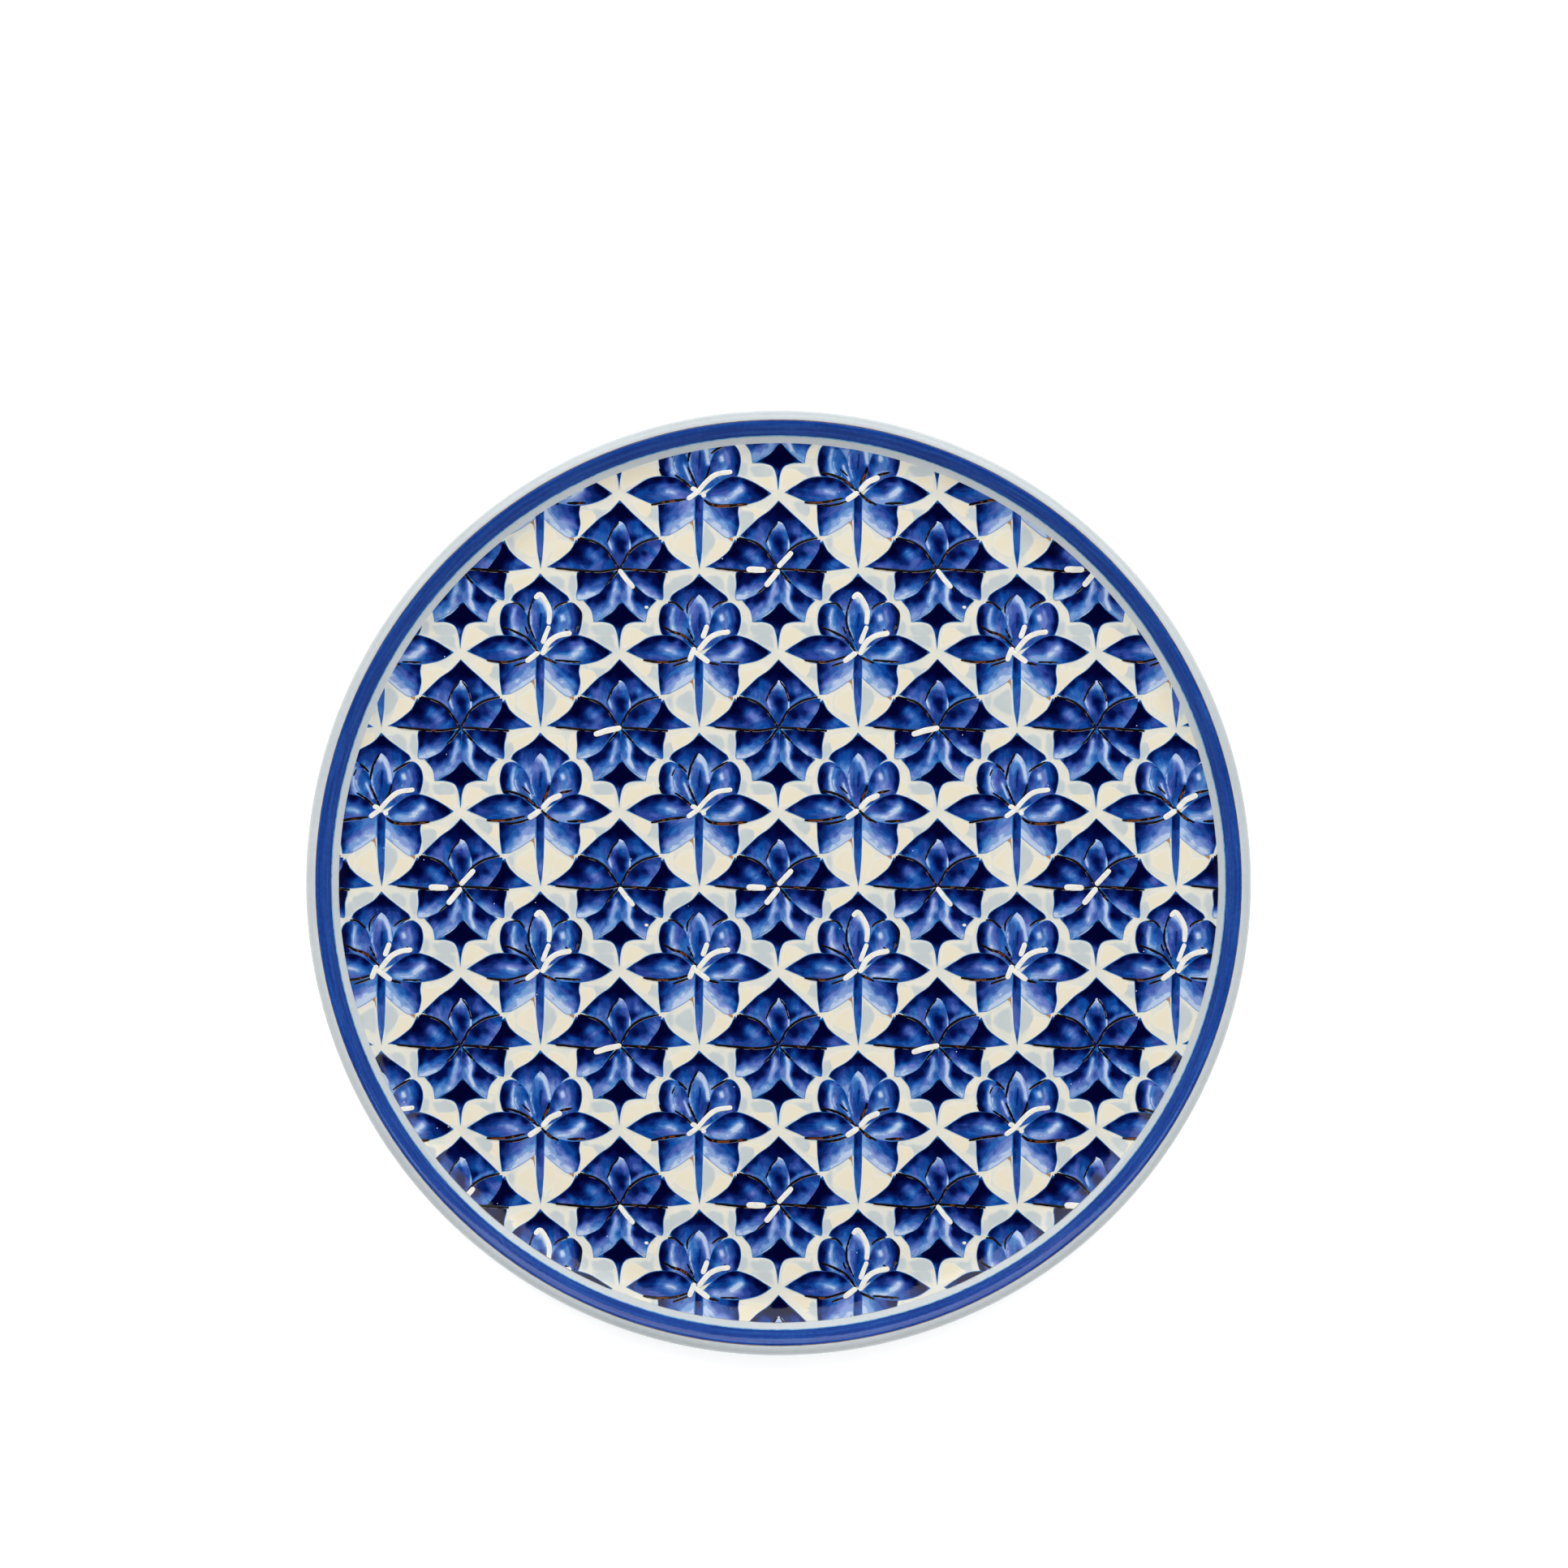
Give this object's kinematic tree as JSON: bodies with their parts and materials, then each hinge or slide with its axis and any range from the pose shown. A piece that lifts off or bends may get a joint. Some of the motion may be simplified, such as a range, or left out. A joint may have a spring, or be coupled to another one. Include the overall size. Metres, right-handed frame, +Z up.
{
  "type": "hand painted ceramic plate",
  "caption": "Round shallow ceramic plate on a foot ring, its flat floor painted with a repeat of cobalt lotus and star flowers on cream inside a blue rim band.",
  "frame": {"origin": "centre of the circle that the foot ring stands on", "axes": "+Z up out of the dish, +Y towards the tips of the flowers' upright petals, +X to the right of the painting"},
  "size_m": [0.27, 0.27, 0.0176],
  "materials": {
    "fired_clay": "bare, matte, fine grained",
    "white_glaze": "cool white, glossy",
    "navy_paint": "glossy, brushed",
    "cobalt_paint": "glossy, brushed, shaded from dark to pale",
    "pale_cobalt_paint": "glossy, brushed, shaded from dark to pale",
    "band_cobalt": "glossy, with uneven cobalt",
    "bleed_blue": "glossy, thin",
    "brown_line": "glossy, dark edged",
    "cream_enamel": "raised, glossy",
    "white_slip": "raised, glossy"
  },
  "bodies": {
    "root": {"clay_body": "fired_clay", "foot_ring": "fired_clay", "front_glaze": "white_glaze", "back_glaze": "white_glaze", "foot_well_glaze": "white_glaze", "rim_band": "band_cobalt", "band_bleed_line": "bleed_blue", "band_brown_line": "brown_line", "lotus_caps": "navy_paint", "lotus_crown_petals": "cobalt_paint", "lotus_centre_petals": "pale_cobalt_paint", "lotus_side_petals": "cobalt_paint", "lotus_skirts": "cobalt_paint", "lotus_stems": "cobalt_paint", "star_hoods": "navy_paint", "star_centre_petals": "pale_cobalt_paint", "star_upper_petals": "cobalt_paint", "star_wings": "navy_paint", "star_lower_petals": "cobalt_paint", "star_bottom_petals": "pale_cobalt_paint", "star_diamonds": "navy_paint", "cream_panels": "cream_enamel", "white_strokes": "white_slip", "brown_lines": "brown_line"}
  },
  "joints": []
}
